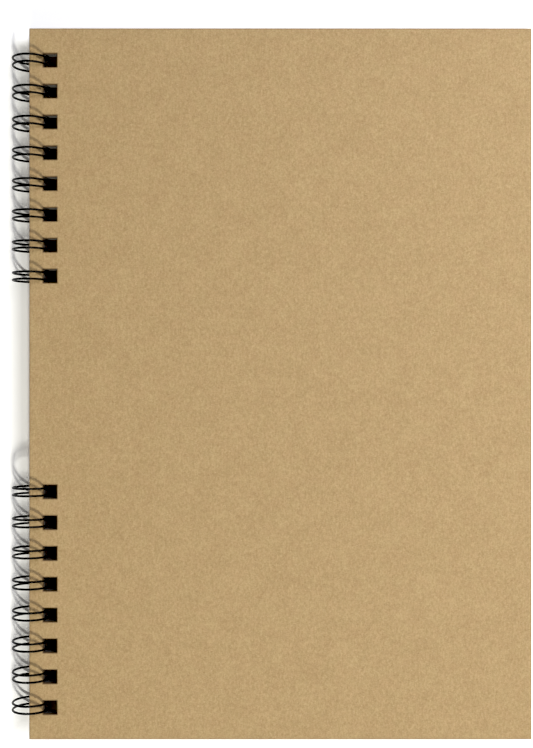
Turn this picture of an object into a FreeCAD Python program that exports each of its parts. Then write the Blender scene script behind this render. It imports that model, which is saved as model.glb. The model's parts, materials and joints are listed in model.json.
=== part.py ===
import FreeCAD, Part
import math
import os

# A closed sketchbook: two kraft boards and twenty sheets of heavy paper, bound along the
# spine by two strips of twin-loop wire.  Lengths are millimetres and angles are degrees.
# +X points to the fore-edge, +Y to the head and +Z up, out of the front cover.  The origin
# is under the middle of the book, level with the lowest point of the wire loops.

# Leaves
COVER_WIDTH = 207.0
COVER_LENGTH = 293.0
BOARD = 1.8
SHEET = 0.15
SHEET_COUNT = 20
LEAF_GAP = 0.01
SHEET_SETBACK = 1.0

# Punched holes, in two groups with a plain stretch of spine between them
HOLE_WIDTH = 5.6
HOLE_LENGTH = 5.6
HOLE_MARGIN = 5.8
PITCH = 12.7
LOOPS = 8
PLAIN_PLACES = 6

# Twin-loop wire.  A loop is two wires side by side, closed at its tip.
LOOP_RADIUS = 7.35
LOOP_SPAN = 2.95
WIRE_RADIUS = 0.45
ROOT_ANGLE = -38.0
TIP_ANGLE = 288.0
ROOT_BEND = 1.2
END_STUB = 3.4

# The leaves turn about the middle of the loops, which lies just outside their spine edges.
SPINE_GAP = 0.05
HINGE_X = (LOOP_RADIUS + WIRE_RADIUS - SPINE_GAP - COVER_WIDTH) / 2
HINGE_Z = LOOP_RADIUS + WIRE_RADIUS
SPINE_X = HINGE_X + SPINE_GAP
BLOCK = 2 * BOARD + SHEET_COUNT * SHEET + (SHEET_COUNT + 1) * LEAF_GAP
BACK_Z = HINGE_Z - BLOCK / 2
FRONT_Z = HINGE_Z + BLOCK / 2 - BOARD
GROUP_REACH = (LOOPS - 1) * PITCH
FIRST_LOOP = (PLAIN_PLACES + 1) * PITCH / 2

HEADWARDS = FreeCAD.Vector(0, 1, 0)
UP = FreeCAD.Vector(0, 0, 1)


def rectangle(x, y, width, length, z):
    """A closed rectangle at height z, from its corner nearest the spine and the tail."""
    corner = FreeCAD.Vector(x, y, z)
    across = FreeCAD.Vector(width, 0, 0)
    along = FreeCAD.Vector(0, length, 0)
    corners = [corner, corner + across, corner + across + along, corner + along, corner]
    return Part.makePolygon(corners)


def loop_places():
    """How far from the middle of the spine each loop stands, tail to head."""
    upper = [FIRST_LOOP + n * PITCH for n in range(LOOPS)]
    return [-y for y in reversed(upper)] + upper


def leaf(width, length, thickness, z):
    """A flat punched leaf, standing on height z with its spine edge at the hinge line."""
    outline = rectangle(SPINE_X, -length / 2, width, length, z)
    hole_x = SPINE_X + HOLE_MARGIN
    holes = [
        rectangle(hole_x, y - HOLE_LENGTH / 2, HOLE_WIDTH, HOLE_LENGTH, z)
        for y in loop_places()
    ]
    face = Part.Face(outline).cut(Part.makeCompound([Part.Face(hole) for hole in holes]))
    return face.Faces[0].extrude(UP * thickness)


def cover(z):
    return leaf(COVER_WIDTH, COVER_LENGTH, BOARD, z)


def sheet(number):
    """Sheet 1 lies under the front cover and the last sheet lies on the back cover."""
    below = SHEET_COUNT - number
    z = BACK_Z + BOARD + LEAF_GAP + below * (SHEET + LEAF_GAP)
    return leaf(COVER_WIDTH - SHEET_SETBACK, COVER_LENGTH - 2 * SHEET_SETBACK, SHEET, z)


class WireBender:
    """One length of round wire, made from straight and bent stretches end to end."""

    def __init__(self, point, direction):
        self.point = point
        self.direction = direction
        self.stretches = []

    def section(self):
        circle = Part.Circle(self.point, self.direction, WIRE_RADIUS)
        return Part.Face(Part.Wire(circle.toShape()))

    def straight(self, length):
        run = self.direction * length
        self.stretches.append(self.section().extrude(run))
        self.point = self.point + run

    def bend(self, radius, degrees, axis):
        """Turn about an axis that stands on the wire's inner side, right-handed."""
        centre = self.point + axis.cross(self.direction) * radius
        self.stretches.append(self.section().revolve(centre, axis, degrees))
        turn = FreeCAD.Rotation(axis, degrees)
        self.point = centre + turn.multVec(self.point - centre)
        self.direction = turn.multVec(self.direction)

    def solid(self):
        joined = self.stretches[0].fuse(self.stretches[1:])
        return joined.Solids[0]


def outward(angle):
    """The direction from the middle of a loop to the place at this angle from +X."""
    return FreeCAD.Vector(math.cos(math.radians(angle)), 0, math.sin(math.radians(angle)))


def bend_loop(wire):
    """From the root up through the holes, over the spine to the tip, and back again."""
    round_the_ring = TIP_ANGLE - ROOT_ANGLE
    wire.bend(ROOT_BEND, 90, outward(ROOT_ANGLE))
    wire.bend(LOOP_RADIUS, round_the_ring, -HEADWARDS)
    wire.bend(LOOP_SPAN / 2, 180, -outward(TIP_ANGLE))
    wire.bend(LOOP_RADIUS, round_the_ring, HEADWARDS)
    wire.bend(ROOT_BEND, 90, outward(ROOT_ANGLE))


def wire_strip(first_loop):
    """A strip of loops, headwards from its first one, with straight runs at their roots."""
    root = outward(ROOT_ANGLE)
    hinge = FreeCAD.Vector(HINGE_X, first_loop - LOOP_SPAN / 2, HINGE_Z)
    first_root = hinge + root * LOOP_RADIUS - root.cross(HEADWARDS) * ROOT_BEND
    wire = WireBender(first_root - HEADWARDS * (ROOT_BEND + END_STUB), HEADWARDS)
    wire.straight(END_STUB)
    for number in range(LOOPS):
        bend_loop(wire)
        last = number == LOOPS - 1
        wire.straight(END_STUB if last else PITCH - LOOP_SPAN - 2 * ROOT_BEND)
    return wire.solid()


def parts():
    """Every piece of the book, by name."""
    pieces = {
        "front_cover": cover(FRONT_Z),
        "back_cover": cover(BACK_Z),
        "wire_upper": wire_strip(FIRST_LOOP),
        "wire_lower": wire_strip(-FIRST_LOOP - GROUP_REACH),
    }
    for number in range(1, SHEET_COUNT + 1):
        pieces[f"sheet_{number:02d}"] = sheet(number)
    return pieces


os.makedirs("parts", exist_ok=True)
for name, shape in parts().items():
    shape.exportStep(f"parts/{name}.step")
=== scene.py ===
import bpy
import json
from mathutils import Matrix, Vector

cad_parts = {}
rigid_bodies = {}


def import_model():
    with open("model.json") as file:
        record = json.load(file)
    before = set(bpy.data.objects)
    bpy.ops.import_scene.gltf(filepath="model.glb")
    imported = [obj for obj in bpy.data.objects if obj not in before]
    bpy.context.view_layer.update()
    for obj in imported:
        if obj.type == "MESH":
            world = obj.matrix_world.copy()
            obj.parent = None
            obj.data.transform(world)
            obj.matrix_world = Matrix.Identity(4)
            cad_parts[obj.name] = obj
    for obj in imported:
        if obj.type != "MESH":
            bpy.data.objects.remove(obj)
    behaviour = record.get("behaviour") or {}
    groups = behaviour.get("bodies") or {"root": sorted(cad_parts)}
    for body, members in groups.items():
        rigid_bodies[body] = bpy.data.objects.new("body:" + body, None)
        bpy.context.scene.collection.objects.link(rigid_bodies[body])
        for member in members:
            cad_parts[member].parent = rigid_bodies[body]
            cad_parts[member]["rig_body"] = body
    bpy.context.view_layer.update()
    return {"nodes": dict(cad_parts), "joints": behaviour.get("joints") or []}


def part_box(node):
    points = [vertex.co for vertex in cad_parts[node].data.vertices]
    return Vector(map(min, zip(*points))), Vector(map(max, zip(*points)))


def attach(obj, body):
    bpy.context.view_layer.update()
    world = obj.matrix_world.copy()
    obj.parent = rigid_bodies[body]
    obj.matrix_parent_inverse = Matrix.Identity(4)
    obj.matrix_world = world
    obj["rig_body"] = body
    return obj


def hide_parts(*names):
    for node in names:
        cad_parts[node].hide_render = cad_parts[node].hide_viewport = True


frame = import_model()

import json
import math
import random

import bmesh
import bpy
from mathutils import Quaternion, Vector

# A closed sketchbook with kraft covers, seen from straight above on a white table.
# Lengths are metres. +X points to the fore-edge, +Y to the head and +Z up.

MM = 0.001
SEED = 7
HEADWARDS = Vector((0, 1, 0))

# --- the book's sizes ----------------------------------------------------------------------

HINGE = Vector(frame["joints"][0]["pos_m"])
FRONT_LOW, FRONT_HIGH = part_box("front_cover")
BACK_LOW, BACK_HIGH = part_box("back_cover")
SHEETS = sorted(name for name in frame["nodes"] if name.startswith("sheet_"))

# Punched holes and loops of wire, on the pitch of 2:1 twin-loop binding
PITCH = 12.7 * MM
LOOPS = 8
FIRST_LOOP = 3.5 * PITCH
LOOP_PLACES = [side * (FIRST_LOOP + n * PITCH) for side in (-1, 1) for n in range(LOOPS)]
HOLE_LOW_X = FRONT_LOW.x + 5.8 * MM
HOLE_HIGH_X = HOLE_LOW_X + 5.6 * MM
HOLE_HALF_LENGTH = 2.8 * MM

# Wire
LOOP_RADIUS = 7.35 * MM
LOOP_SPAN = 2.95 * MM
WIRE_RADIUS = 0.45 * MM
ROOT_ANGLE = math.radians(-38)
TIP_ANGLE = math.radians(288)
ROOT_BEND = 1.2 * MM
END_STUB = 3.4 * MM
WIRE_CHAMFER = 0.08 * MM
WIRE_SIDES = 16
WIRE_STEP = math.radians(4)
TIGHT_BEND = 3 * MM
TIGHT_STEP = math.radians(15)
WIRE_CREASE = math.radians(40)

# Covers: the rounding of cut edges, the largest face, the width of the worn rim and of the painted
# shade round the holes
BOARD_ROUNDING = 0.22 * MM
BOARD_STEP = 9 * MM
BOARD_RIM = 0.6 * MM
BOARD_CREASE = math.radians(50)

# Sheets: the same, and how far one differs from the next; the rim's width also sets the painted
# shade round the holes
SHEET_ROUNDING = 0.03 * MM
SHEET_STEP = 14 * MM
SHEET_RIM = 0.22 * MM
SHEET_CREASE = math.radians(30)
SHEET_SLIP = 0.07 * MM
SHEET_TRIM = 0.30 * MM

# --- colours and finishes ------------------------------------------------------------------

KRAFT_DARK = (0.349, 0.239, 0.111, 1)
KRAFT_PALE = (0.466, 0.335, 0.167, 1)
KRAFT_RUDDY = (1.0, 0.90, 0.95, 1)
KRAFT_FLECK = (0.200, 0.122, 0.052, 1)
KRAFT_STRAW = (0.620, 0.490, 0.300, 1)
KRAFT_PLY_DARK = (0.105, 0.062, 0.030, 1)
KRAFT_PLY_PALE = (0.250, 0.165, 0.082, 1)
# Painted shade on the walls of the covers' holes
KRAFT_HOLE_SHADE = (0.070, 0.040, 0.020, 1)
PAPER_LIGHT = (0.80, 0.78, 0.72, 1)
PAPER_SHADE = (0.73, 0.71, 0.65, 1)
PAPER_FIBRE = (0.45, 0.38, 0.28, 1)
# Painted shade on the walls of the sheets' holes
PAPER_HOLE_SHADE = (0.012, 0.011, 0.010, 1)
WIRE_BLACK = (0.0015, 0.0015, 0.0017, 1)
WIRE_WORN = (0.007, 0.007, 0.0075, 1)
TABLE_WHITE = (0.95, 0.95, 0.95, 1)
# Painted shade: the cards under the holes
SHADE_CARD_GREY = (0.10, 0.10, 0.10, 1)
WHITE = (1, 1, 1, 1)

# How strongly each surface mirrors the lights
BOARD_GLOSS = 0.2
PAPER_GLOSS = 0.2
WIRE_GLOSS = 0.08
STAGE_GLOSS = 0.1
STAGE_ROUGHNESS = 0.95

# Board: how far each unevenness sways its tone
CLOUD_SHARE = 0.13
MOTTLE_SHARE = 0.68
GRAIN_SHARE = 0.19
RUDDY_SHARE = 0.30
FLECK_SHARE = 0.47
STRAW_SHARE = 0.38
# How far the painted shade darkens the covers' hole walls
BOARD_HOLE_SHADE_SHARE = 0.92
FIBRE_TURNS = (0.35, 1.15, 1.9, 2.75)
FIBRE_SOFTNESS = 0.06

# Paper: the same
PAPER_CLOUD_SHARE = 0.15
PAPER_TOOTH_SHARE = 0.85
PAPER_FIBRE_SHARE = 0.18
# How far the painted shade darkens the sheets' hole walls
PAPER_HOLE_SHADE_SHARE = 0.97

# --- stage, light and camera ---------------------------------------------------------------

# The closed book rests on its loops and on the fore-edge of the back cover.
REST_SLOPE = math.atan2(BACK_LOW.z, BACK_HIGH.x - HINGE.x)
TABLE_SPAN = 6.0

# The table's painted glow, left out of a strip beside the spine so that only the lamps' shade
# shows there: distances are from the hinge line, and from the middle of the book's length
# Painted light: how strongly the table glows
TABLE_GLOW = 0.38
SHADE_DEEP = -5.5 * MM
SHADE_END = -13 * MM
SHADE_BOOK_SIDE = -2.8 * MM
SHADE_BOOK_END = -2.3 * MM
SHADE_LENGTH = 142 * MM
SHADE_LENGTH_END = 150 * MM

# Dark cards laid under the holes as painted shade, to keep the holes dark
SHADE_CARD_LOW = 2.8 * MM
SHADE_CARD_HIGH = 11 * MM
SHADE_CARD_MARGIN = 8 * MM
SHADE_CARD_LIFT = 0.1 * MM

# The soft light from all round
HORIZON_GLOW = 0.55
HORIZON_TOP = 0.45
WORLD_AT_SPINE = 0.04
WORLD_AT_FORE_EDGE = 0.51

# Soft round lights: name, place, size, level and colour. A light's level is how bright it
# makes a white leaf.
LIGHTS = (
    ("key_from_tail", (0.25, -1.60, 1.40), 0.26, 0.52, (1.0, 0.985, 0.90)),
    ("fill_from_head", (0.78, 0.50, 1.20), 0.50, 0.10, (1.0, 1.0, 1.0)),
    ("fill_from_fore_edge", (0.50, 0.22, 0.42), 0.40, 0.35, (0.98, 1.0, 1.16)),
)

# The lens looks straight down, a little off the middle of the cover.
LENS = 51.26
SENSOR = 36.0
LENS_X = 3.15 * MM
LENS_Y = -1.3 * MM
LENS_HEIGHT = 438.8 * MM
SHIFT_X = -0.01604
SHIFT_Y = 0.01738
NEAREST = 0.01

# The deepest shadows, up to this level, print black.
BLACK_LEVEL = 0.012


# --- node helpers --------------------------------------------------------------------------


def new_material(name):
    """A new material: the material, its node tree and its Principled shader."""
    material = bpy.data.materials.new(name)
    material.use_nodes = True
    tree = material.node_tree
    return material, tree, tree.nodes["Principled BSDF"]


def feed(tree, socket, value):
    """Gives a socket its value, or links it to the socket that the value comes from."""
    if isinstance(value, bpy.types.NodeSocket):
        tree.links.new(value, socket)
    else:
        socket.default_value = value


def add(tree, kind, inputs=None, **settings):
    """A new node with these settings and inputs. An input is a value or a socket."""
    node = tree.nodes.new(kind)
    for key, value in settings.items():
        setattr(node, key, value)
    for key, value in (inputs or {}).items():
        feed(tree, node.inputs[key], value)
    return node


def object_coords(tree, stretch=(1, 1, 1), turn=0.0, shift=(0, 0, 0)):
    """Places on the object, in metres, stretched and turned in the leaf's plane."""
    coords = add(tree, "ShaderNodeTexCoord")
    mapping = add(tree, "ShaderNodeMapping", {
        "Vector": coords.outputs["Object"],
        "Location": shift,
        "Rotation": (0, 0, turn),
        "Scale": stretch,
    })
    return mapping.outputs["Vector"]


def noise(tree, vector, scale, detail=4.0, roughness=0.55):
    """Soft noise between 0 and 1, with about this many blotches to the metre."""
    node = add(tree, "ShaderNodeTexNoise", {
        "Vector": vector, "Scale": scale, "Detail": detail, "Roughness": roughness,
    })
    return node.outputs["Fac"]


def remap(tree, value, low, high, to_low=0.0, to_high=1.0):
    node = add(tree, "ShaderNodeMapRange", {
        "Value": value, "From Min": low, "From Max": high, "To Min": to_low, "To Max": to_high,
    })
    return node.outputs["Result"]


def arithmetic(tree, operation, first, second):
    return add(tree, "ShaderNodeMath", {0: first, 1: second}, operation=operation).outputs[0]


def scaled(tree, value, share):
    return arithmetic(tree, "MULTIPLY", value, share)


def largest(tree, values):
    top = values[0]
    for value in values[1:]:
        top = arithmetic(tree, "MAXIMUM", top, value)
    return top


def weighted(tree, *terms):
    """The sum of several values, each times its own share."""
    total = scaled(tree, *terms[0])
    for value, share in terms[1:]:
        total = arithmetic(tree, "ADD", total, scaled(tree, value, share))
    return total


def mix_colour(tree, factor, first, second, blend="MIX"):
    node = add(tree, "ShaderNodeMix", data_type="RGBA", blend_type=blend)
    for key, value in ((0, factor), (6, first), (7, second)):
        feed(tree, node.inputs[key], value)
    return node.outputs[2]


def attribute(tree, name):
    return add(tree, "ShaderNodeAttribute", attribute_name=name).outputs["Fac"]


def fibres(tree, turn, shift, length, width, rarity):
    """Short thin flecks that lie one way: 1 on a fleck and 0 between them."""
    vector = object_coords(tree, (1 / length, 1 / width, 1 / width), turn, shift)
    value = noise(tree, vector, 1.0, detail=1.0, roughness=0.4)
    return remap(tree, value, rarity, rarity + FIBRE_SOFTNESS)


def dress(tree, shader, colour, roughness, gloss, height, strength, depth):
    """Gives a shader its colour, finish and relief."""
    tree.links.new(colour, shader.inputs["Base Color"])
    tree.links.new(roughness, shader.inputs["Roughness"])
    shader.inputs["Specular IOR Level"].default_value = gloss
    bump = add(tree, "ShaderNodeBump", {"Height": height, "Strength": strength, "Distance": depth})
    tree.links.new(bump.outputs["Normal"], shader.inputs["Normal"])


# --- materials -----------------------------------------------------------------------------


def kraft_board():
    """Unbleached kraft board: tan, with dark and pale fibres and a faint machine grain, and
    layered, darker cut edges. The walls of its holes carry painted shade: dark brown."""
    material, tree, shader = new_material("kraft_board")
    plain = object_coords(tree)
    cloud = noise(tree, plain, 105.0, detail=3.0)
    mottle = noise(tree, object_coords(tree, (1, 0.60, 1)), 1370.0, detail=3.0, roughness=0.7)
    grain = noise(tree, object_coords(tree, (1, 0.25, 1)), 1900.0, detail=2.0)
    tone = weighted(tree, (cloud, CLOUD_SHARE), (mottle, MOTTLE_SHARE), (grain, GRAIN_SHARE))
    base = mix_colour(tree, remap(tree, tone, 0.38, 0.62), KRAFT_DARK, KRAFT_PALE)
    drift = noise(tree, plain, 190.0, detail=3.0)
    ruddy = scaled(tree, remap(tree, drift, 0.38, 0.62), RUDDY_SHARE)
    base = mix_colour(tree, ruddy, base, KRAFT_RUDDY, blend="MULTIPLY")

    dark = largest(tree, [
        fibres(tree, turn, (3.1 * n, 1.7, 0), 1.3 * MM, 0.12 * MM, 0.67)
        for n, turn in enumerate(FIBRE_TURNS)
    ])
    pale = largest(tree, [
        fibres(tree, turn + 0.5, (5.3, 2.9 * n, 0), 1.0 * MM, 0.11 * MM, 0.66)
        for n, turn in enumerate(FIBRE_TURNS)
    ])
    base = mix_colour(tree, scaled(tree, dark, FLECK_SHARE), base, KRAFT_FLECK)
    base = mix_colour(tree, scaled(tree, pale, STRAW_SHARE), base, KRAFT_STRAW)

    plies = noise(tree, object_coords(tree, (90, 90, 7000)), 1.0, detail=3.0, roughness=0.6)
    edge = mix_colour(tree, remap(tree, plies, 0.35, 0.65), KRAFT_PLY_DARK, KRAFT_PLY_PALE)
    scuff = remap(tree, noise(tree, plain, 1500.0, detail=2.0), 0.3, 0.7, 0.55, 0.85)
    rim = arithmetic(tree, "MULTIPLY", attribute(tree, "rim"), scuff)
    # Painted shade: the walls of the holes, and a hair round them, turn dark brown.
    hole_shade = scaled(tree, attribute(tree, "hole_shade"), BOARD_HOLE_SHADE_SHARE)
    base = mix_colour(tree, rim, base, edge)
    base = mix_colour(tree, hole_shade, base, KRAFT_HOLE_SHADE)

    roughness = remap(tree, mottle, 0.3, 0.7, 0.78, 0.93)
    tooth = noise(tree, plain, 3200.0, detail=3.0)
    height = weighted(tree, (mottle, 0.5), (tooth, 0.35), (pale, 0.2), (plies, 0.3))
    dress(tree, shader, base, roughness, BOARD_GLOSS, height, 0.29, 0.05 * MM)
    return material


def paper():
    """Off-white drawing paper with a fine tooth and a few faint fibres. The walls of its holes
    carry painted shade: near-black."""
    material, tree, shader = new_material("paper")
    plain = object_coords(tree)
    cloud = noise(tree, plain, 160.0, detail=4.0)
    tooth = noise(tree, plain, 2600.0, detail=4.0, roughness=0.65)
    tone = weighted(tree, (cloud, PAPER_CLOUD_SHARE), (tooth, PAPER_TOOTH_SHARE))
    base = mix_colour(tree, remap(tree, tone, 0.35, 0.65), PAPER_SHADE, PAPER_LIGHT)
    faint = largest(tree, [
        fibres(tree, 0.8 + 1.3 * n, (n, 4.1, 0), 1.1 * MM, 0.09 * MM, 0.72) for n in range(2)
    ])
    base = mix_colour(tree, scaled(tree, faint, PAPER_FIBRE_SHARE), base, PAPER_FIBRE)
    # Painted shade: the walls of the holes, and a hair round them, turn near-black.
    hole_shade = scaled(tree, attribute(tree, "hole_shade"), PAPER_HOLE_SHADE_SHARE)
    base = mix_colour(tree, hole_shade, base, PAPER_HOLE_SHADE)
    roughness = remap(tree, tooth, 0.3, 0.7, 0.82, 0.95)
    dress(tree, shader, base, roughness, PAPER_GLOSS, tooth, 0.3, 0.03 * MM)
    return material


def coated_wire():
    """Steel wire in black nylon: smooth, with a faint orange peel and worn, duller patches."""
    material, tree, shader = new_material("wire_coating")
    plain = object_coords(tree)
    peel = noise(tree, plain, 2400.0, detail=2.0)
    wear = noise(tree, plain, 320.0, detail=5.0, roughness=0.6)
    base = mix_colour(tree, remap(tree, wear, 0.4, 0.75), WIRE_BLACK, WIRE_WORN)
    roughness = remap(tree, wear, 0.3, 0.75, 0.22, 0.38)
    dress(tree, shader, base, roughness, WIRE_GLOSS, peel, 0.25, 0.02 * MM)
    return material


# --- pieces --------------------------------------------------------------------------------


def body_of(node):
    return frame["nodes"][node]["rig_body"]


def new_mesh(name, mesh):
    """Blender's mesh data from a finished bmesh."""
    data = bpy.data.meshes.new(name)
    mesh.to_mesh(data)
    mesh.free()
    return data


def in_scene(name, data):
    thing = bpy.data.objects.new(name, data)
    bpy.context.scene.collection.objects.link(thing)
    return thing


def place(name, data, crease, material, node):
    """Puts a finished mesh in the scene as the piece that stands for one CAD node, smooth
    but for its creases."""
    for polygon in data.polygons:
        polygon.use_smooth = True
    data.set_sharp_from_angle(angle=crease)
    data.materials.append(material)
    piece = in_scene(name, data)
    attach(piece, body_of(node))
    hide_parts(node)


# --- leaves --------------------------------------------------------------------------------


class Hole:
    """A square hole through a leaf, seen from above."""

    def __init__(self, y):
        self.low = Vector((HOLE_LOW_X, y - HOLE_HALF_LENGTH))
        self.high = Vector((HOLE_HIGH_X, y + HOLE_HALF_LENGTH))

    def holds(self, x, y):
        return self.low.x < x < self.high.x and self.low.y < y < self.high.y

    def distance(self, x, y):
        across = max(self.low.x - x, 0, x - self.high.x)
        along = max(self.low.y - y, 0, y - self.high.y)
        return math.hypot(across, along)


def grid_lines(low, high, gaps, offsets, step):
    """Where to cut a leaf along one axis: close together beside its edges and holes, and no
    further apart than a step between them."""
    lines = {low, high}
    for offset in offsets:
        lines.update((low + offset, high - offset))
        for gap_low, gap_high in gaps:
            lines.update((gap_low - offset, gap_high + offset))
    lines.update(edge for gap in gaps for edge in gap)
    close = sorted(line for line in lines if low <= line <= high)
    out = [close[0]]
    for line in close[1:]:
        gap = line - out[-1]
        if gap < 1e-7:
            continue
        parts = math.ceil(gap / step)
        out += [out[-1] + gap * part / parts for part in range(1, parts)]
        out.append(line)
    return out


def edge_distance(x, y, low, high):
    """How far a place on a leaf is from the leaf's outer edges."""
    return max(0.0, min(x - low.x, high.x - x, y - low.y, high.y - y))


def hole_distance(x, y, holes):
    return min(hole.distance(x, y) for hole in holes)


def nearness(distance, width):
    """1 at an edge, falling to 0 at this width from it."""
    return max(0.0, 1.0 - distance / width)


def rounding(distance, radius):
    """How far a rounded edge has dropped at this distance in from it."""
    if distance >= radius:
        return 0.0
    return radius - math.sqrt(radius**2 - (radius - distance) ** 2)


def leaf_mesh(name, low, high, holes, radius, step, rim_width):
    """A flat leaf with its holes, as one closed mesh of quads, its edges slightly rounded.
    The attribute rim is 1 at its outer edges, the one for the painted shade at the holes is 1 at
    its holes, and both fade inwards."""
    offsets = [share * radius for share in (0.15, 0.5, 1.0)] + [rim_width]
    xs = grid_lines(low.x, high.x, [(holes[0].low.x, holes[0].high.x)], offsets, step)
    ys = grid_lines(low.y, high.y, [(h.low.y, h.high.y) for h in holes], offsets, step)
    mesh = bmesh.new()
    rim = mesh.verts.layers.float.new("rim")
    hole_shade = mesh.verts.layers.float.new("hole_shade")
    columns = {}

    def column(i, j):
        """The vertices above and below one crossing of the grid."""
        if (i, j) not in columns:
            x, y = xs[i], ys[j]
            to_edge = edge_distance(x, y, low, high)
            to_hole = hole_distance(x, y, holes)
            drop = rounding(min(to_edge, to_hole), radius)
            top = mesh.verts.new((x, y, high.z - drop))
            bottom = mesh.verts.new((x, y, low.z + drop))
            for vertex in (top, bottom):
                vertex[rim] = nearness(to_edge, rim_width)
                # The mask for the painted shade in and round the holes
                vertex[hole_shade] = nearness(to_hole, rim_width)
            columns[i, j] = (top, bottom)
        return columns[i, j]

    def solid(i, j):
        """Whether one cell of the grid is on the leaf, and not in a hole."""
        if not (0 <= i < len(xs) - 1 and 0 <= j < len(ys) - 1):
            return False
        x, y = (xs[i] + xs[i + 1]) / 2, (ys[j] + ys[j + 1]) / 2
        return not any(hole.holds(x, y) for hole in holes)

    # Each side of a cell: the step to its neighbour there, and the side's two corners
    sides = (((0, -1), (0, 0), (1, 0)), ((1, 0), (1, 0), (1, 1)),
             ((0, 1), (1, 1), (0, 1)), ((-1, 0), (0, 1), (0, 0)))
    for i in range(len(xs) - 1):
        for j in range(len(ys) - 1):
            if not solid(i, j):
                continue
            corners = [column(i + a, j + b) for a, b in ((0, 0), (1, 0), (1, 1), (0, 1))]
            mesh.faces.new([top for top, _ in corners])
            mesh.faces.new([bottom for _, bottom in reversed(corners)])
            for (di, dj), (a, b), (c, d) in sides:
                if solid(i + di, j + dj):
                    continue
                first, second = column(i + a, j + b), column(i + c, j + d)
                mesh.faces.new([first[0], first[1], second[1], second[0]])
    return new_mesh(name, mesh)


def make_cover(node, material):
    low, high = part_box(node)
    holes = [Hole(y) for y in LOOP_PLACES]
    name = node + "_board"
    data = leaf_mesh(name, low, high, holes, BOARD_ROUNDING, BOARD_STEP, BOARD_RIM)
    place(name, data, BOARD_CREASE, material, node)


def make_sheet(node, material, dice):
    """A sheet, trimmed and punched a hair differently from its neighbours."""
    low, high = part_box(node)
    slip = dice.uniform(-1, 1) * SHEET_SLIP
    trim = dice.uniform(-1, 0) * SHEET_TRIM
    low = low + Vector((0, slip, 0))
    high = high + Vector((trim, slip, 0))
    holes = [Hole(y + slip) for y in LOOP_PLACES]
    name = node + "_paper"
    data = leaf_mesh(name, low, high, holes, SHEET_ROUNDING, SHEET_STEP, SHEET_RIM)
    place(name, data, SHEET_CREASE, material, node)


# --- wire ----------------------------------------------------------------------------------


def outward(angle):
    """The direction out from the hinge line at this angle about it."""
    return Vector((math.cos(angle), 0, math.sin(angle)))


class WirePath:
    """The centre line of a bent wire: points, and the wire's direction at each."""

    def __init__(self, point, direction):
        self.steps = [(point.copy(), direction.copy())]

    def straight(self, length):
        point, direction = self.steps[-1]
        self.steps.append((point + direction * length, direction.copy()))

    def bend(self, radius, angle, axis):
        point, direction = self.steps[-1]
        centre = point + axis.cross(direction) * radius
        finest = WIRE_STEP if radius > TIGHT_BEND else TIGHT_STEP
        count = math.ceil(angle / finest)
        for step in range(1, count + 1):
            turn = Quaternion(axis, angle * step / count)
            self.steps.append((centre + turn @ (point - centre), turn @ direction))


def strip_path(first_loop):
    """One length of wire, bent out and back over the spine for each double loop in turn."""
    root = outward(ROOT_ANGLE)
    tip = outward(TIP_ANGLE)
    start = HINGE + HEADWARDS * (first_loop - LOOP_SPAN / 2) + root * LOOP_RADIUS
    start = start - root.cross(HEADWARDS) * ROOT_BEND - HEADWARDS * (ROOT_BEND + END_STUB)
    path = WirePath(start, HEADWARDS)
    path.straight(END_STUB)
    for number in range(LOOPS):
        path.bend(ROOT_BEND, math.radians(90), root)
        path.bend(LOOP_RADIUS, TIP_ANGLE - ROOT_ANGLE, -HEADWARDS)
        path.bend(LOOP_SPAN / 2, math.radians(180), -tip)
        path.bend(LOOP_RADIUS, TIP_ANGLE - ROOT_ANGLE, HEADWARDS)
        path.bend(ROOT_BEND, math.radians(90), root)
        last = number == LOOPS - 1
        path.straight(END_STUB if last else PITCH - LOOP_SPAN - 2 * ROOT_BEND)
    return path.steps


def ring_of(mesh, point, direction, across, radius):
    """One round of vertices about the wire's centre line."""
    other = direction.cross(across)
    ring = []
    for side in range(WIRE_SIDES):
        angle = 2 * math.pi * side / WIRE_SIDES
        spoke = across * math.cos(angle) + other * math.sin(angle)
        ring.append(mesh.verts.new(point + spoke * radius))
    return ring


def join_rings(mesh, first, second):
    for side in range(WIRE_SIDES):
        after = (side + 1) % WIRE_SIDES
        mesh.faces.new([first[side], first[after], second[after], second[side]])


def wire_mesh(name, steps):
    """A round wire along its path, with chamfered cut ends."""
    (start, first_way), (end, last_way) = steps[0], steps[-1]
    narrow = WIRE_RADIUS - WIRE_CHAMFER
    rounds = [
        (start, first_way, narrow),
        (start + first_way * WIRE_CHAMFER, first_way, WIRE_RADIUS),
        *((point, direction, WIRE_RADIUS) for point, direction in steps[1:-1]),
        (end - last_way * WIRE_CHAMFER, last_way, WIRE_RADIUS),
        (end, last_way, narrow),
    ]

    mesh = bmesh.new()
    across = outward(0.3)
    rings = []
    for point, direction, radius in rounds:
        across = (across - direction * across.dot(direction)).normalized()
        rings.append(ring_of(mesh, point, direction, across, radius))
    for first, second in zip(rings, rings[1:]):
        join_rings(mesh, first, second)
    mesh.faces.new(list(reversed(rings[0])))
    mesh.faces.new(rings[-1])
    bmesh.ops.recalc_face_normals(mesh, faces=mesh.faces[:])
    return new_mesh(name, mesh)


def make_wire(node, first_loop, material):
    name = node + "_strip"
    place(name, wire_mesh(name, strip_path(first_loop)), WIRE_CREASE, material, node)


# --- stage ---------------------------------------------------------------------------------


def plane(name, low, high, height, material):
    """A flat rectangle of the stage, level with the table, measured from the hinge line."""
    mesh = bmesh.new()
    corners = [(low[0], low[1]), (high[0], low[1]), (high[0], high[1]), (low[0], high[1])]
    mesh.faces.new([mesh.verts.new((x, y, height)) for x, y in corners])
    data = new_mesh(name, mesh)
    data.materials.append(material)
    flat = in_scene(name, data)
    flat.rotation_euler = (0, -REST_SLOPE, 0)
    flat.location = (HINGE.x, 0, 0)


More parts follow.
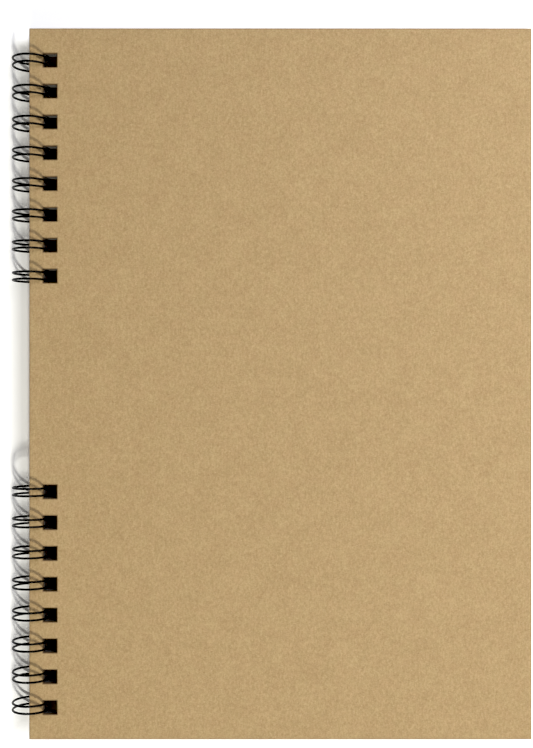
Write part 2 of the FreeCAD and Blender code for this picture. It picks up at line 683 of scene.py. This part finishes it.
def matt(name, colour):
    """A plain matt surface of the stage: its material, node tree and shader."""
    material, tree, shader = new_material(name)
    shader.inputs["Base Color"].default_value = colour
    shader.inputs["Roughness"].default_value = STAGE_ROUGHNESS
    shader.inputs["Specular IOR Level"].default_value = STAGE_GLOSS
    return material, tree, shader


def painted_glow_table():
    """White, with a painted glow everywhere but in a strip beside the spine, where only the lamps
    light it.
    """
    material, tree, shader = matt("table_white", TABLE_WHITE)
    split = add(tree, "ShaderNodeSeparateXYZ", {"Vector": object_coords(tree)})
    across, along = split.outputs["X"], split.outputs["Y"]
    from_middle = add(tree, "ShaderNodeMath", {0: along}, operation="ABSOLUTE").outputs[0]
    beside = remap(tree, across, SHADE_DEEP, SHADE_END, 0.0, TABLE_GLOW)
    under = remap(tree, across, SHADE_BOOK_SIDE, SHADE_BOOK_END, 0.0, TABLE_GLOW)
    past_ends = remap(tree, from_middle, SHADE_LENGTH, SHADE_LENGTH_END, 0.0, TABLE_GLOW)
    # The glow is painted light; without it, the strip beside the spine shows the lamps' shade.
    glow = largest(tree, [beside, under, past_ends])
    shader.inputs["Emission Color"].default_value = WHITE
    tree.links.new(glow, shader.inputs["Emission Strength"])
    return material


def make_table():
    """A white table, with a dark card under each group of holes as painted shade."""
    plane("table", (-TABLE_SPAN, -TABLE_SPAN), (TABLE_SPAN, TABLE_SPAN), 0, painted_glow_table())
    # Painted shade: a dark card under each group of holes keeps the holes dark.
    dark, _, _ = matt("shade_card_grey", SHADE_CARD_GREY)
    for name, group in (("tail_shade_card", LOOP_PLACES[:LOOPS]), ("head_shade_card", LOOP_PLACES[LOOPS:])):
        low = (SHADE_CARD_LOW, min(group) - SHADE_CARD_MARGIN)
        high = (SHADE_CARD_HIGH, max(group) + SHADE_CARD_MARGIN)
        plane(name, low, high, SHADE_CARD_LIFT, dark)


# --- light and camera ----------------------------------------------------------------------


def area_light(name, spot, size, level, colour):
    """A round soft light at this spot, aimed at the book."""
    spot = Vector(spot)
    data = bpy.data.lights.new(name, "AREA")
    data.shape = "DISK"
    data.size = size
    data.energy = level * math.pi**2 * spot.length**3 / spot.z
    data.color = colour
    light = in_scene(name, data)
    light.location = spot
    light.rotation_euler = (-spot).to_track_quat("-Z", "Y").to_euler()
    light.visible_camera = False


def make_world():
    """Soft light from all round, brighter on the fore-edge side and over a pale horizon."""
    world = bpy.data.worlds.new("studio")
    world.use_nodes = True
    tree = world.node_tree
    direction = add(tree, "ShaderNodeTexCoord").outputs["Generated"]
    split = add(tree, "ShaderNodeSeparateXYZ", {"Vector": direction})
    dome = remap(tree, split.outputs["X"], -1, 1, WORLD_AT_SPINE, WORLD_AT_FORE_EDGE)
    horizon = remap(tree, split.outputs["Z"], HORIZON_TOP, 0.0)
    strength = weighted(tree, (dome, 1.0), (horizon, HORIZON_GLOW))
    background = tree.nodes["Background"]
    background.inputs["Color"].default_value = WHITE
    tree.links.new(strength, background.inputs["Strength"])
    bpy.context.scene.world = world


def make_camera():
    data = bpy.data.cameras.new("camera")
    data.lens = LENS
    data.sensor_width = SENSOR
    data.shift_x = SHIFT_X
    data.shift_y = SHIFT_Y
    data.clip_start = NEAREST
    camera = in_scene("camera", data)
    camera.location = (LENS_X, LENS_Y, FRONT_HIGH.z + LENS_HEIGHT)
    bpy.context.scene.camera = camera


def set_tone():
    """Plain colours, with the deepest shadows printed black."""
    view = bpy.context.scene.view_settings
    view.view_transform = "Standard"
    view.look = "None"
    view.use_curve_mapping = True
    view.curve_mapping.black_level = (BLACK_LEVEL, BLACK_LEVEL, BLACK_LEVEL)
    view.curve_mapping.update()


def main():
    kraft = kraft_board()
    white = paper()
    black = coated_wire()
    make_cover("front_cover", kraft)
    make_cover("back_cover", kraft)
    dice = random.Random(SEED)
    for node in SHEETS:
        make_sheet(node, white, dice)
    make_wire("wire_upper", FIRST_LOOP, black)
    make_wire("wire_lower", -FIRST_LOOP - (LOOPS - 1) * PITCH, black)
    make_table()
    make_world()
    for light in LIGHTS:
        area_light(*light)
    make_camera()
    set_tone()


main()
